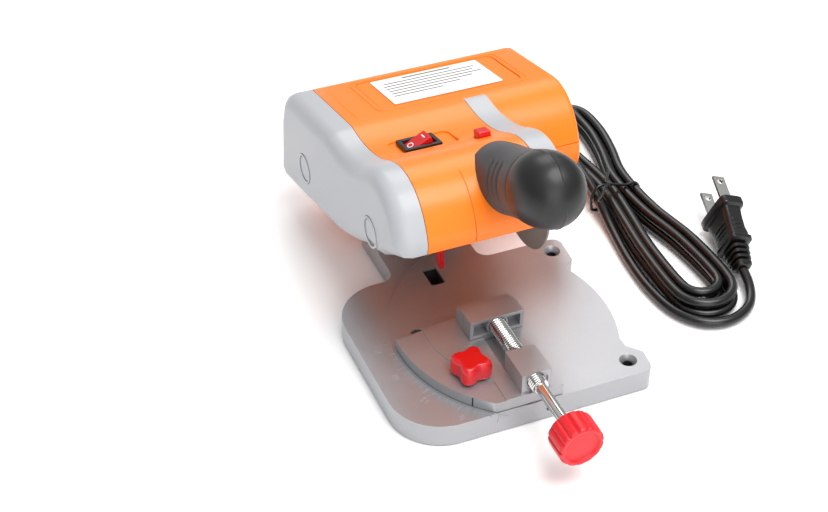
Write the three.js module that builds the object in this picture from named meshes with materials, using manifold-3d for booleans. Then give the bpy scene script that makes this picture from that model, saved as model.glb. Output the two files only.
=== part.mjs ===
// Small bench trim saw: a cast base with a swivelling screw vise, and a sprung saw head that is
// pulled down onto the work. Millimetres, +Z up, +X right, +Y to the rear. The origin is on the
// underside of the base plate, under the middle of the plate.
import * as THREE from 'three';
import { mergeVertices } from 'three/addons/utils/BufferGeometryUtils.js';
import Module from 'manifold-3d';

const wasm = await Module();
wasm.setup();

// ---------------------------------------------------------------- driving dimensions
const GAP = 0.3;                                  // clearance between neighbouring pieces
const PLATE = { left: -67, front: -50, back: 50.5, top: 11, corner: 24 };
const BULGE = { x: -18, y: 1, r: 69 };            // the round right side of the base plate
const EAR = { front: { x: 42, y: -40.6 }, back: { x: 45, y: 42 }, rim: 4.1, bore: 2.2 };
const NECK = { left: -33, right: 11, end: 96, fillet: 6 };
const LATCH_SLOT = { x0: -18.6, x1: -11.6, y0: 39.6, y1: 52 };
const PIVOT = { x: 13.5, y: 1.3 };                // centre of the vise's swivel
const TABLE = { r: 64.6, top: 17, right: 5, front: -49.4, rear: 177, band: 51.6,
  bandDrop: 0.5 };
const CLAMP = { r: 52.3, angle: 214.7, swing: 45, slot: 3.2 };   // lock screw's track in the base
const JAW = { x0: -21, x1: 5, top: 27, front: -8.7, back: -0.8, wall: 1.6 };
const FIXED_JAW = { front: -0.5, back: 7 };
const NUT = { x0: -14.6, x1: -0.6, y0: -48.4, y1: -31, top: 27 };
const SCREW = { x: -7.6, z: 22, r: 3.9, end: -53, rod: 2.7, tip: -4.6 };
const KNOB = { r: 10.4, back: -79, front: -91.5, flutes: 14 };
const HINGE = { y: 78, z: 22, pin: 2.5, lug: 6 };
const REST_TILT = 13.1;                           // how far the raised head leans back, degrees
const HEAD = { left: -57, seam: -43, nose: 13, cover: 24, right: 63, wall: 2.5, split: 34 };
const MOTOR = { y: 21.6, z: 28.3, r: 16 };
const ARBOR = { y: -67, z: 31.6, shaft: 3 };
const BELT = { motor: 9, arbor: 4.6, thick: 1.2 };            // pulley grooves and belt thickness
const BLADE = { r: 25, x: 16, t: 1 };
const HANDLE = { x: -1, y: -91, z: 52.6, rise: 14.3, neck: 31 };
const SWITCH = { x0: -30.7, x1: -13.1, y0: -48.6, y1: -35.6, z: 55.4 };
const LABEL = { x0: -24, x1: 48, y0: -3.6, y1: 35.6, floor: 58.7 };
const CORD = { w: 5, h: 5 };

// ---------------------------------------------------------------- materials
const finish = (color, roughness, metalness) => ({ color, roughness, metalness });
const CAST = finish(0xb9babd, 0.55, 0.6);
const STEEL = finish(0xc9c9cc, 0.28, 1);
const DARK_STEEL = finish(0x6d6a68, 0.35, 1);
const ORANGE = finish(0xf58220, 0.4, 0);
const GREY = finish(0xc3c6c8, 0.45, 0);
const BLACK = finish(0x242424, 0.4, 0);
const STEM = finish(0x4a4a4c, 0.5, 0);
const RED = finish(0xd8222c, 0.35, 0);
const PAPER = finish(0xf2f2f0, 0.7, 0);
const COPPER = finish(0xb06a3a, 0.4, 0.9);

// ---------------------------------------------------------------- solids and booleans
function toSolid(geometry) {
  const bare = geometry.clone();
  for (const name of Object.keys(bare.attributes)) {
    if (name !== 'position') bare.deleteAttribute(name);
  }
  const merged = mergeVertices(bare, 1e-4);
  const corners = Array.from(merged.index.array);
  const kept = [];
  for (let i = 0; i < corners.length; i += 3) {
    const [a, b, c] = corners.slice(i, i + 3);
    if (a !== b && b !== c && c !== a) kept.push(a, b, c);
  }
  return new wasm.Manifold(new wasm.Mesh({
    numProp: 3,
    vertProperties: new Float32Array(merged.attributes.position.array),
    triVerts: new Uint32Array(kept),
  }));
}

function toGeometry(manifold) {
  const mesh = manifold.getMesh();
  const geometry = new THREE.BufferGeometry();
  geometry.setAttribute('position', new THREE.BufferAttribute(mesh.vertProperties, 3));
  geometry.setIndex(new THREE.BufferAttribute(mesh.triVerts, 1));
  return geometry;
}

const join = (...parts) => toGeometry(parts.map(toSolid).reduce((a, b) => a.add(b)));
const cut = (body, ...tools) => toGeometry(tools.map(toSolid).reduce((a, b) => a.subtract(b), toSolid(body)));
const common = (a, b) => toGeometry(toSolid(a).intersect(toSolid(b)));

// ---------------------------------------------------------------- simple shapes
const degrees = THREE.MathUtils.degToRad;

function block(x0, x1, y0, y1, z0, z1) {
  const box = new THREE.BoxGeometry(x1 - x0, y1 - y0, z1 - z0);
  return box.translate((x0 + x1) / 2, (y0 + y1) / 2, (z0 + z1) / 2);
}

const rodX = (r, x0, x1, y, z, n = 24) => new THREE.CylinderGeometry(r, r, x1 - x0, n)
  .rotateZ(-Math.PI / 2).translate((x0 + x1) / 2, y, z);
const rodY = (r, y0, y1, x, z, n = 24) => new THREE.CylinderGeometry(r, r, y1 - y0, n)
  .translate(x, (y0 + y1) / 2, z);
const rodZ = (r, z0, z1, x, y, n = 24) => new THREE.CylinderGeometry(r, r, z1 - z0, n)
  .rotateX(Math.PI / 2).translate(x, y, (z0 + z1) / 2);
const ringX = (r, bore, x0, x1, y, z, n = 24) => cut(
  rodX(r, x0, x1, y, z, n), rodX(bore, x0 - 1, x1 + 1, y, z, n));

// a flat outline in X,Y raised from z0 to z1
const raise = (shape, z0, z1) => new THREE.ExtrudeGeometry(
  shape, { depth: z1 - z0, bevelEnabled: false, curveSegments: 16 }).translate(0, 0, z0);

// a rectangle with rounded corners
function roundedPlate(x0, x1, y0, y1, r) {
  const s = new THREE.Shape();
  s.absarc(x1 - r, y1 - r, r, 0, Math.PI / 2, false);
  s.absarc(x0 + r, y1 - r, r, Math.PI / 2, Math.PI, false);
  s.absarc(x0 + r, y0 + r, r, Math.PI, 1.5 * Math.PI, false);
  s.absarc(x1 - r, y0 + r, r, 1.5 * Math.PI, 2 * Math.PI, false);
  return new THREE.Shape(s.getPoints(6));
}

// an outline in Y,Z carried along X from x0 to x1
const CARRY_X = new THREE.Matrix4().makeBasis(
  new THREE.Vector3(0, 1, 0), new THREE.Vector3(0, 0, 1), new THREE.Vector3(1, 0, 0));
function carry(points, x0, x1) {
  const body = new THREE.ExtrudeGeometry(new THREE.Shape(points), { depth: x1 - x0, bevelEnabled: false });
  return body.applyMatrix4(CARRY_X).translate(x0, 0, 0);
}

// an outline in Y,Z carried through stations of [x, inset], so that its ends can be rounded
function mould(points, stations) {
  const n = points.length;
  const rings = stations.map(([x, distance]) => inset(points, distance).map((p) => [x, p.x, p.y]));
  const index = [];
  for (let k = 0; k + 1 < rings.length; k += 1) {
    for (let i = 0; i < n; i += 1) {
      const a = k * n + i;
      const b = k * n + ((i + 1) % n);
      index.push(a, b, b + n, a, b + n, a + n);
    }
  }
  const last = (rings.length - 1) * n;
  for (const [a, b, c] of THREE.ShapeUtils.triangulateShape(points, [])) {
    index.push(a, c, b, last + a, last + b, last + c);
  }
  const geometry = new THREE.BufferGeometry();
  geometry.setAttribute('position', new THREE.Float32BufferAttribute(rings.flat(2), 3));
  geometry.setIndex(index);
  return geometry;
}

const shrunk = (points, distance, x0, x1) => mould(points, [[x0, distance], [x1, distance]]);

// stations of a quarter-round edge of radius r, starting at x and going towards dir
const rounded = (x, dir, r) => [0, 30, 60, 90].map((a) => [
  x + dir * r * (1 - Math.cos(degrees(a))), r * (1 - Math.sin(degrees(a)))]);

// a turned piece: profile of [radius, distance along the axis], about an axis along X
function turnX(profile, y, z, n = 24) {
  const points = profile.map(([r, x]) => new THREE.Vector2(r, x));
  return new THREE.LatheGeometry(points, n).rotateZ(-Math.PI / 2).translate(0, y, z);
}

// the outline moved inward by a distance, for the inside of a moulded shell
function inset(points, distance) {
  const n = points.length;
  return points.map((p, i) => {
    const a = points[(i + n - 1) % n];
    const b = points[(i + 1) % n];
    const before = p.clone().sub(a).normalize();
    const after = b.clone().sub(p).normalize();
    const normal = new THREE.Vector2(-before.y - after.y, before.x + after.x).normalize();
    const spread = Math.max(0.5, normal.dot(new THREE.Vector2(-before.y, before.x)));
    return p.clone().addScaledVector(normal, distance / spread);
  });
}

const polar = (centre, r, angle) => new THREE.Vector2(
  centre.x + r * Math.cos(degrees(angle)), centre.y + r * Math.sin(degrees(angle)));

function piece(parent, name, geometry, look) {
  const mesh = new THREE.Mesh(geometry, new THREE.MeshStandardMaterial(look));
  mesh.name = name;
  parent.add(mesh);
  return mesh;
}

// ---------------------------------------------------------------- base
function plateShape() {
  const { left, front, back, corner } = PLATE;
  const s = new THREE.Shape();
  s.moveTo(left + corner, front);
  s.lineTo(46, front);
  s.quadraticCurveTo(49.5, front, 50.2, -46);
  s.lineTo(51, -38);
  s.lineTo(45.5, -31.5);
  const low = Math.asin((-26 - BULGE.y) / BULGE.r);
  const high = Math.asin((28 - BULGE.y) / BULGE.r);
  s.absarc(BULGE.x, BULGE.y, BULGE.r, low, high, false);
  s.lineTo(51.4, 33);
  s.lineTo(52.3, 46);
  s.quadraticCurveTo(51.6, back, 47, back);
  s.lineTo(NECK.right + NECK.fillet, back);
  s.absarc(NECK.right + NECK.fillet, back + NECK.fillet, NECK.fillet, -Math.PI / 2, -Math.PI, true);
  s.lineTo(NECK.right, NECK.end - 4);
  s.quadraticCurveTo(NECK.right, NECK.end, NECK.right - 4, NECK.end);
  s.lineTo(NECK.left + 4, NECK.end);
  s.quadraticCurveTo(NECK.left, NECK.end, NECK.left, NECK.end - 4);
  s.lineTo(NECK.left, back + NECK.fillet);
  s.absarc(NECK.left - NECK.fillet, back + NECK.fillet, NECK.fillet, 0, -Math.PI / 2, true);
  s.lineTo(left + corner, back);
  s.absarc(left + corner, back - corner, corner, Math.PI / 2, Math.PI, false);
  s.absarc(left + corner, front + corner, corner, Math.PI, 1.5 * Math.PI, false);
  return s;
}

// a curved slot about the swivel's centre, between two angles
function trackShape(radius, halfWidth, from, to) {
  const s = new THREE.Shape();
  const a = degrees(from);
  const b = degrees(to);
  const end = polar(PIVOT, radius, to);
  const start = polar(PIVOT, radius, from);
  s.absarc(PIVOT.x, PIVOT.y, radius + halfWidth, a, b, false);
  s.absarc(end.x, end.y, halfWidth, b, b + Math.PI, false);
  s.absarc(PIVOT.x, PIVOT.y, radius - halfWidth, b, a, true);
  s.absarc(start.x, start.y, halfWidth, a + Math.PI, a + 2 * Math.PI, false);
  return s;
}

function countersunk({ x, y }) {
  const rim = new THREE.CylinderGeometry(EAR.rim, EAR.bore, 3, 24).rotateX(Math.PI / 2);
  return join(rodZ(EAR.bore, -1, PLATE.top - 2, x, y), rim.translate(x, y, PLATE.top - 1.4));
}

function hingeLug(x0, x1) {
  const { y, z, lug } = HINGE;
  return join(rodX(lug, x0, x1, y, z), block(x0, x1, y - lug, y + lug, PLATE.top - 1, z));
}

function baseCasting() {
  const from = CLAMP.angle - CLAMP.swing;
  const pocket = trackShape(CLAMP.r, 6.2, from, CLAMP.angle);
  let body = raise(plateShape(), 0, PLATE.top);
  body = join(body, hingeLug(NECK.left, NECK.left + 6), hingeLug(NECK.right - 6, NECK.right));
  return cut(
    body,
    block(LATCH_SLOT.x0, LATCH_SLOT.x1, LATCH_SLOT.y0, LATCH_SLOT.y1, -1, PLATE.top + 1),
    raise(trackShape(CLAMP.r, CLAMP.slot, from, CLAMP.angle), -1, PLATE.top + 1),
    raise(pocket, -1, 5.5),
    countersunk(EAR.front),
    countersunk(EAR.back),
    rodX(HINGE.pin + GAP, NECK.left - 1, NECK.right + 1, HINGE.y, HINGE.z),
    rodY(1.6, PLATE.front - 1, PLATE.front + 9, -1, 5.5, 12),
  );
}

class Coil extends THREE.Curve {
  constructor(x0, x1, radius, turns, leg) {
    super();
    Object.assign(this, { x0, x1, radius, turns, leg });
  }

  getPoint(t) {
    const angle = t * this.turns * 2 * Math.PI;
    const x = this.x0 + (this.x1 - this.x0) * t;
    return new THREE.Vector3(
      x, HINGE.y - this.radius * Math.cos(angle), HINGE.z + this.radius * Math.sin(angle));
  }
}

function tubeAlong(curve, width, height, steps, sides) {
  const section = new THREE.Shape();
  for (let i = 0; i <= sides; i += 1) {
    const a = (i / sides) * 2 * Math.PI;
    const x = (height / 2) * Math.cos(a);
    const y = (width / 2) * Math.sin(a);
    if (i === 0) section.moveTo(x, y);
    else if (i < sides) section.lineTo(x, y);
  }
  return new THREE.ExtrudeGeometry(section, { steps, extrudePath: curve, bevelEnabled: false });
}

function buildBase(group) {
  piece(group, 'base_casting', baseCasting(), CAST);
  const pin = rodX(HINGE.pin, NECK.left + 0.5, NECK.right - 0.5, HINGE.y, HINGE.z);
  piece(group, 'hinge_pin', pin, STEEL);
  const coil = new Coil(-18.5, -3.5, 4.1, 7, 0);
  piece(group, 'hinge_spring', tubeAlong(coil, 1.4, 1.4, 84, 6), DARK_STEEL);
}

// ---------------------------------------------------------------- swivelling vise
function tableShape() {
  const start = polar(PIVOT, TABLE.r, TABLE.rear);
  const frontAngle = 180 + THREE.MathUtils.radToDeg(Math.asin((PIVOT.y - TABLE.front) / TABLE.r));
  const s = new THREE.Shape();
  s.moveTo(TABLE.right, FIXED_JAW.back + 1);
  s.lineTo(-21, FIXED_JAW.back + 1);
  s.lineTo(start.x, start.y);
  s.absarc(PIVOT.x, PIVOT.y, TABLE.r, degrees(TABLE.rear), degrees(frontAngle), false);
  s.lineTo(TABLE.right, TABLE.front);
  return s;
}

function viseTable() {
  const low = PLATE.top + GAP;
  const knob = polar(PIVOT, CLAMP.r, CLAMP.angle);
  const band = cut(
    rodZ(TABLE.r + 2, TABLE.top - TABLE.bandDrop, TABLE.top + 3, PIVOT.x, PIVOT.y, 96),
    rodZ(TABLE.band, TABLE.top - 2, TABLE.top + 4, PIVOT.x, PIVOT.y, 96));
  const bandSide = block(-60, -22, -60, 20, TABLE.top - 1, TABLE.top + 4);
  const body = cut(
    raise(tableShape(), low, TABLE.top),
    common(band, bandSide),
    block(NUT.x0, NUT.x1, NUT.y1 - 0.5, FIXED_JAW.front, TABLE.top - 2.5, TABLE.top + 1),
    rodZ(2.4, low - 1, TABLE.top + 1, knob.x, knob.y));
  const fixed = cut(
    block(JAW.x0, JAW.x1, FIXED_JAW.front, FIXED_JAW.back, TABLE.top - 1, JAW.top - 0.6),
    block(JAW.x0 - 1, JAW.x1 + 1, FIXED_JAW.front + 3, FIXED_JAW.back + 1, JAW.top - 2.4, JAW.top));
  const nut = block(NUT.x0, NUT.x1, NUT.y0, NUT.y1, TABLE.top - 3, NUT.top);
  return cut(
    join(body, fixed, nut),
    rodY(SCREW.r + GAP, NUT.y0 - 1, NUT.y1 + 1, SCREW.x, SCREW.z),
    rodY(5.4, NUT.y0 - 1, NUT.y0 + 0.8, SCREW.x, SCREW.z));
}

function viseJaw() {
  const { x0, x1, top, front, back, wall } = JAW;
  const low = TABLE.top + GAP;
  const body = cut(
    block(x0, x1, front, back, low, top),
    block(x0 + wall, x1 - wall, front - 1, back - 2.6, low + wall, top - wall));
  const tongue = block(NUT.x0 + 0.4, NUT.x1 - 0.4, front + 0.5, back - 0.5, TABLE.top - 2, low + 1);
  const boss = rodY(5.3, front + 0.2, back - 1, SCREW.x, SCREW.z);
  const trimmed = common(boss, block(x0, x1, front, back, low, top));
  return cut(
    join(body, tongue, trimmed),
    rodY(SCREW.r + GAP, front - 1, SCREW.tip + 0.6, SCREW.x, SCREW.z));
}

function flutedKnob() {
  const s = new THREE.Shape();
  const steps = KNOB.flutes * 6;
  for (let i = 0; i < steps; i += 1) {
    const a = (i / steps) * 2 * Math.PI;
    const r = KNOB.r - 0.75 * Math.max(0, Math.cos(KNOB.flutes * a)) ** 2;
    if (i === 0) s.moveTo(r * Math.cos(a), r * Math.sin(a));
    else s.lineTo(r * Math.cos(a), r * Math.sin(a));
  }
  const length = KNOB.back - KNOB.front;
  const body = new THREE.ExtrudeGeometry(s, { depth: length, bevelEnabled: false });
  body.rotateX(Math.PI / 2).translate(SCREW.x, KNOB.back, SCREW.z);
  return cut(
    join(body, rodY(6.5, KNOB.back - 1, KNOB.back + 2, SCREW.x, SCREW.z)),
    rodY(8, KNOB.front - 1, KNOB.front + 2, SCREW.x, SCREW.z),
    rodY(SCREW.rod + GAP, KNOB.front + 4, KNOB.back + 3, SCREW.x, SCREW.z));
}

function starShape() {
  const s = new THREE.Shape();
  const steps = 64;
  for (let i = 0; i < steps; i += 1) {
    const a = (i / steps) * 2 * Math.PI;
    const r = 7.6 + 1.6 * Math.cos(4 * (a - degrees(40)));
    if (i === 0) s.moveTo(r * Math.cos(a), r * Math.sin(a));
    else s.lineTo(r * Math.cos(a), r * Math.sin(a));
  }
  return s;
}

function buildVise(group) {
  const knob = polar(PIVOT, CLAMP.r, CLAMP.angle);
  piece(group, 'vise_table', viseTable(), CAST);
  piece(group, 'vise_jaw', viseJaw(), CAST);
  const screw = join(
    rodY(SCREW.r, SCREW.end, SCREW.tip, SCREW.x, SCREW.z),
    rodY(SCREW.rod, KNOB.front + 4 + GAP, SCREW.end + 1, SCREW.x, SCREW.z));
  piece(group, 'vise_screw', screw, STEEL);
  piece(group, 'vise_knob', flutedKnob(), RED);
  const star = cut(
    raise(starShape(), TABLE.top + GAP, TABLE.top + 9.5).translate(knob.x, knob.y, 0),
    rodZ(2 + GAP, TABLE.top - 1, TABLE.top + 7, knob.x, knob.y));
  piece(group, 'lock_knob', star, RED);
  piece(group, 'lock_screw', rodZ(2, 1, TABLE.top + 7 - GAP, knob.x, knob.y, 16), STEEL);
  const nut = cut(rodZ(4.4, 2, 5.2, knob.x, knob.y, 6), rodZ(2 + GAP, 1, 6, knob.x, knob.y, 16));
  piece(group, 'lock_nut', nut, STEEL);
}

// ---------------------------------------------------------------- head outlines (Y,Z about hinge)
function smooth(points, count) {
  const curve = new THREE.SplineCurve(points.map(([y, z]) => new THREE.Vector2(y, z)));
  return curve.getSpacedPoints(count);
}

const corner = (points) => points.map(([y, z]) => new THREE.Vector2(y, z));

// the long outline with the blade's nose, anticlockwise from the rear foot
function noseOutline() {
  const top = smooth([[-14, 59.4], [-22, 57.4], [-31, 56], [-42, 56], [-52, 57.4], [-61, 60],
    [-70, 61.8], [-79, 61.4], [-87, 58.4], [-93, 53.6], [-97, 47.4], [-99.2, 41], [-99.8, 35]], 24);
  return [
    ...corner([[-98, 30.7], [-79, 25], [-74, 22], [-58.6, 20.4], [-40, 14.8], [-21, 10.8], [60, 8.1],
      [66, 13], [56, 43], [50, 53], [46, 57.4], [40, 59.4], [-8, 59.4]]),
    ...top,
  ];
}

// the shorter outline of the motor housing to the right of the nose
function bodyOutline() {
  const front = smooth([[-11, 59.2], [-18, 56.8], [-24, 52.2], [-29, 45], [-31.8, 37], [-32.4, 30],
    [-31, 24], [-27.6, 18.6]], 12);
  return [
    ...corner([[-22, 12.6], [-16, 10.6], [60, 8.1], [66, 13], [56, 43], [50, 53], [46, 57.4],
      [40, 59.4], [-6, 59.6]]),
    ...front,
  ];
}

const LEFT_OUTLINE = noseOutline();
const RIGHT_OUTLINE = bodyOutline();

function housingShell() {
  const { seam, nose, right, wall } = HEAD;
  const outer = join(
    carry(LEFT_OUTLINE, seam, nose),
    mould(RIGHT_OUTLINE, [[seam + 5, 0], ...rounded(right, -1, 2.5).reverse()]));
  const inner = join(
    shrunk(LEFT_OUTLINE, wall, seam + wall, nose - wall),
    shrunk(RIGHT_OUTLINE, wall, seam + wall + 5, right - wall));
  return cut(outer, inner);
}

// the room below the parting line that the lower shell takes, grown by a clearance
function lowerRoom(grow) {
  const top = HEAD.split + grow;
  return join(
    block(HEAD.seam - 5, HEAD.nose, -31 - grow, 80, -5, top),
    block(HEAD.nose - 1, HEAD.right + 5, -45, 80, -5, top));
}

function upperHousing(shell) {
  const hook = block(-16.2, -11.2, -58, -32, 8, 24);
  const { x0, x1, y0, y1, z } = SWITCH;
  const opening = block(x0 + 1 - GAP, x1 - 1 + GAP, y0 + 1 - GAP, y1 - 1 + GAP, 44, 62);
  const dip = raise(roundedPlate(x0 - 4, x1 + 8, y0 - 2.4, y1 + 2, 3.5), z - GAP, 64);
  const frame = raise(roundedPlate(LABEL.x0, LABEL.x1, LABEL.y0, LABEL.y1, 4), LABEL.floor, 62);
  return cut(
    shell,
    lowerRoom(GAP / 2),
    hook,
    opening,
    dip,
    frame,
    block(-0.2, 6.8, -58.4, -51.6, 50, 66),
    rodX(6.8, HEAD.seam - 1, HEAD.seam + 4, ARBOR.y, ARBOR.z),
    rodX(6.8, HEAD.nose - 4, HEAD.nose + 1, ARBOR.y, ARBOR.z));
}

function lowerHousing(shell) {
  const room = lowerRoom(-GAP / 2);
  return cut(
    common(shell, room),
    rodX(4.3, HEAD.seam - 1, HEAD.seam + 8, MOTOR.y, MOTOR.z),
    rodY(6.8, 50, 75, 44, 24));
}

function beltCover() {
  const { left, seam, wall } = HEAD;
  const outer = mould(LEFT_OUTLINE, [...rounded(left, 1, 7), [seam - GAP, 0]]);
  const plugs = [MOTOR, ARBOR].map((at) => cut(
    rodX(7.6, left - 1, left + 1, at.y, at.z), rodX(6, left - 2, left + 2, at.y, at.z)));
  return cut(outer, shrunk(LEFT_OUTLINE, wall + 0.3, left + wall, seam + 1), ...plugs);
}

function bladeCover() {
  const { nose, cover, wall } = HEAD;
  const outside = carry(LEFT_OUTLINE, nose + GAP, cover);
  const room = shrunk(LEFT_OUTLINE, wall, nose, cover - wall);
  const behind = join(
    shrunk(RIGHT_OUTLINE, -GAP, nose - 1, cover + 1),
    block(nose - 1, cover + 1, -31, 80, -5, 54));
  const floor = block(nose - 1, cover - wall, -94, -34, 0, 36);
  return cut(outside, join(room, floor), behind);
}

// ---------------------------------------------------------------- drive
function buildMotor(group) {
  const { y, z, r } = MOTOR;
  piece(group, 'motor_stator', ringX(r, 11.6, -20, 24, y, z, 32), DARK_STEEL);
  const ends = [['left', -34, -20.4], ['right', 24.4, 42]];
  for (const [side, x0, x1] of ends) {
    const inner = side === 'left' ? [x0 + 3, x1 + 1] : [x0 - 1, x1 - 3];
    const shell = cut(
      rodX(r, x0, x1, y, z, 32),
      rodX(13.6, inner[0], inner[1], y, z, 32),
      rodX(5.3, x0 - 1, x1 + 1, y, z));
    piece(group, `motor_end_${side}`, shell, BLACK);
    const seat = side === 'left' ? x0 : x1 - 3;
    piece(group, `motor_bearing_${side}`, ringX(5, 2.5 + GAP, seat, seat + 3, y, z), STEEL);
  }
  const armature = turnX([[0, -54], [2.5, -54], [2.5, -19], [11, -19], [11, 18], [2.5, 18.3],
    [2.5, 26], [5.6, 26], [5.6, 35], [2.5, 35], [2.5, 44], [0, 44]], y, z);
  piece(group, 'motor_armature', armature, COPPER);
  const fan = turnX([[2.5 + GAP, -30], [12.6, -30], [12.6, -29], [4.5, -28.4], [4.5, -24],
    [2.5 + GAP, -24], [2.5 + GAP, -30]], y, z);
  piece(group, 'motor_fan', fan, BLACK);
  for (const [name, side] of [['rear', 1], ['front', -1]]) {
    const a = y + side * 6;
    const b = y + side * 12.8;
    const brush = block(28.5, 33.5, Math.min(a, b), Math.max(a, b), z - 2.5, z + 2.5);
    piece(group, `carbon_brush_${name}`, brush, DARK_STEEL);
  }
  piece(group, 'motor_pulley', pulleyAt(MOTOR, BELT.motor, 2.5 + GAP), STEEL);
}

function pulleyAt({ y, z }, groove, bore) {
  const rim = groove + 1;
  return turnX([[bore, -53.6], [rim, -53.6], [rim, -52.6], [groove, -52.4], [groove, -46.6],
    [rim, -46.4], [rim, -45.4], [bore, -45.4], [bore, -53.6]], y, z);
}

function beltOutline(extra) {
  const s = new THREE.Shape();
  s.absarc(ARBOR.y, ARBOR.z, BELT.arbor + GAP + extra, degrees(90), degrees(270), false);
  s.absarc(MOTOR.y, MOTOR.z, BELT.motor + GAP + extra, degrees(-90), degrees(90), false);
  return s.getPoints(16).slice(0, -1);
}

function buildArbor(group) {
  const { y, z, shaft } = ARBOR;
  const body = turnX([[0, -54], [shaft, -54], [shaft, 21.1], [0, 21.1]], y, z);
  piece(group, 'arbor_shaft', body, STEEL);
  piece(group, 'arbor_pulley', pulleyAt(ARBOR, BELT.arbor, shaft + GAP), STEEL);
  const belt = cut(carry(beltOutline(BELT.thick), -52, -47), carry(beltOutline(0), -53, -46));
  piece(group, 'drive_belt', belt, BLACK);
  for (const [side, x] of [['left', HEAD.seam], ['right', HEAD.nose - 4]]) {
    piece(group, `arbor_bearing_${side}`, ringX(6.5, shaft + GAP, x, x + 4, y, z), STEEL);
  }
  const outer = BLADE.x + BLADE.t + GAP;
  piece(group, 'flange_inner', ringX(8, shaft + GAP, 14, BLADE.x - GAP, y, z), STEEL);
  piece(group, 'saw_blade', ringX(BLADE.r, shaft + GAP, BLADE.x, BLADE.x + BLADE.t, y, z, 64), STEEL);
  piece(group, 'flange_outer', ringX(7, shaft + GAP, outer, outer + 1.4, y, z), STEEL);
  const nut = cut(
    rodX(5.2, outer + 1.7, outer + 3.6, y, z, 6), rodX(shaft + GAP, outer + 1, outer + 4, y, z));
  piece(group, 'arbor_nut', nut, STEEL);
}

// ---------------------------------------------------------------- head furniture
function buildHandle(group) {
  const handle = new THREE.Group();
  handle.position.set(HANDLE.x, HANDLE.y, HANDLE.z);
  handle.rotation.x = -degrees(HANDLE.rise);
  group.add(handle);
  // the handle runs along its own -Y; its foot is cut by the nose it stands on
  const turned = (profile, n = 32) => new THREE.LatheGeometry(
    profile.map(([r, d]) => new THREE.Vector2(r, -d)).reverse(), n);
  const { neck } = HANDLE;
  const stem = turned([[0, -10], [14.9, -10], [14.8, 4], [14.3, 12], [14.3, 22], [14.8, neck],
    [0, neck]]).scale(1, 1, 1.04);
  const place = new THREE.Matrix4().makeRotationX(-degrees(HANDLE.rise))
    .setPosition(HANDLE.x, HANDLE.y, HANDLE.z);
  const back = place.clone().invert();
  const noseBlock = shrunk(LEFT_OUTLINE, -GAP, -40, 40);
  noseBlock.applyMatrix4(back);
  piece(handle, 'handle_stem', cut(stem, noseBlock), STEM);
  const ball = turned([[0, neck + GAP], [14.9, neck + GAP], [15.4, 34.4], [15.6, 38.4], [15.1, 43.4],
    [13.3, 48.4], [10, 52.4], [5.4, 55], [0, 55.7]]).scale(1, 1, 1.06);
  piece(handle, 'handle_ball', ball, BLACK);
}

function buildSwitch(group) {
  const { x0, x1, y0, y1, z } = SWITCH;
  const bezel = cut(
    join(block(x0, x1, y0, y1, z, z + 2), block(x0 + 1, x1 - 1, y0 + 1, y1 - 1, z - 10, z + 1)),
    block(x0 + 2, x1 - 2, y0 + 1.9, y1 - 1.9, z - 8, z + 3));
  piece(group, 'switch_bezel', bezel, BLACK);
  const middle = (x0 + x1) / 2;
  const half = (x1 - x0) / 2 - 2.3;
  const s = new THREE.Shape();
  s.moveTo(-half, -0.2);
  s.lineTo(half - 2.2, 4.8);
  s.lineTo(half - 0.4, -1);
  s.lineTo(2, -4);
  s.lineTo(-2, -4);
  s.lineTo(-half + 0.3, -2.4);
  const rocker = new THREE.ExtrudeGeometry(s, { depth: y1 - y0 - 4.4, bevelEnabled: false });
  rocker.rotateX(Math.PI / 2).translate(middle, y1 - 2.2, z);
  piece(group, 'switch_rocker', rocker, RED);
}

function buildLatch(group) {
  // bar, nose and eye of the hook, in Y,Z about the hinge
  const bar = carry(corner([[-36.4, -11.4], [-33.4, -10.6], [-31.9, -8.4], [-38.8, 21.4], [-44.4, 23],
    [-43.6, 19], [-37, -6.2], [-37.2, -8.4]]), -14.6, -12.2);
  const hook = cut(
    join(bar, rodX(4, -14.6, -12.2, -41.6, 23)),
    rodX(1.5 + GAP, -16, -11, -41.6, 23, 16));
  piece(group, 'latch_hook', hook, RED);
  piece(group, 'latch_pin', rodX(1.5, -17.4, -10.4, -41.6, 23, 16), STEEL);
  piece(group, 'latch_button', block(0.3, 6.3, -57.9, -52.1, 53, 61.6), RED);
}

function headBracket() {
  const { pin, lug } = HINGE;
  const ears = [[-26.4, -20.2], [-1.8, 4.4]].map(([x0, x1]) => join(
    rodX(lug, x0, x1, 0, 0), block(x0, x1, -lug, lug, 0, 8)));
  return cut(
    join(block(-26.4, 4.4, -13, 13, 7, 9), ...ears),
    rodX(pin + GAP, -28, 6, 0, 0));
}

function strainRelief() {
  const profile = [[0, 57.4], [6.4, 57.4], [6.4, 66.4], [4.6, 67], [3.4, 86], [0, 86]];
  const relief = new THREE.LatheGeometry(profile.map(([r, y]) => new THREE.Vector2(r, y)), 20);
  return relief.translate(44, 0, 24);
}

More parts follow.
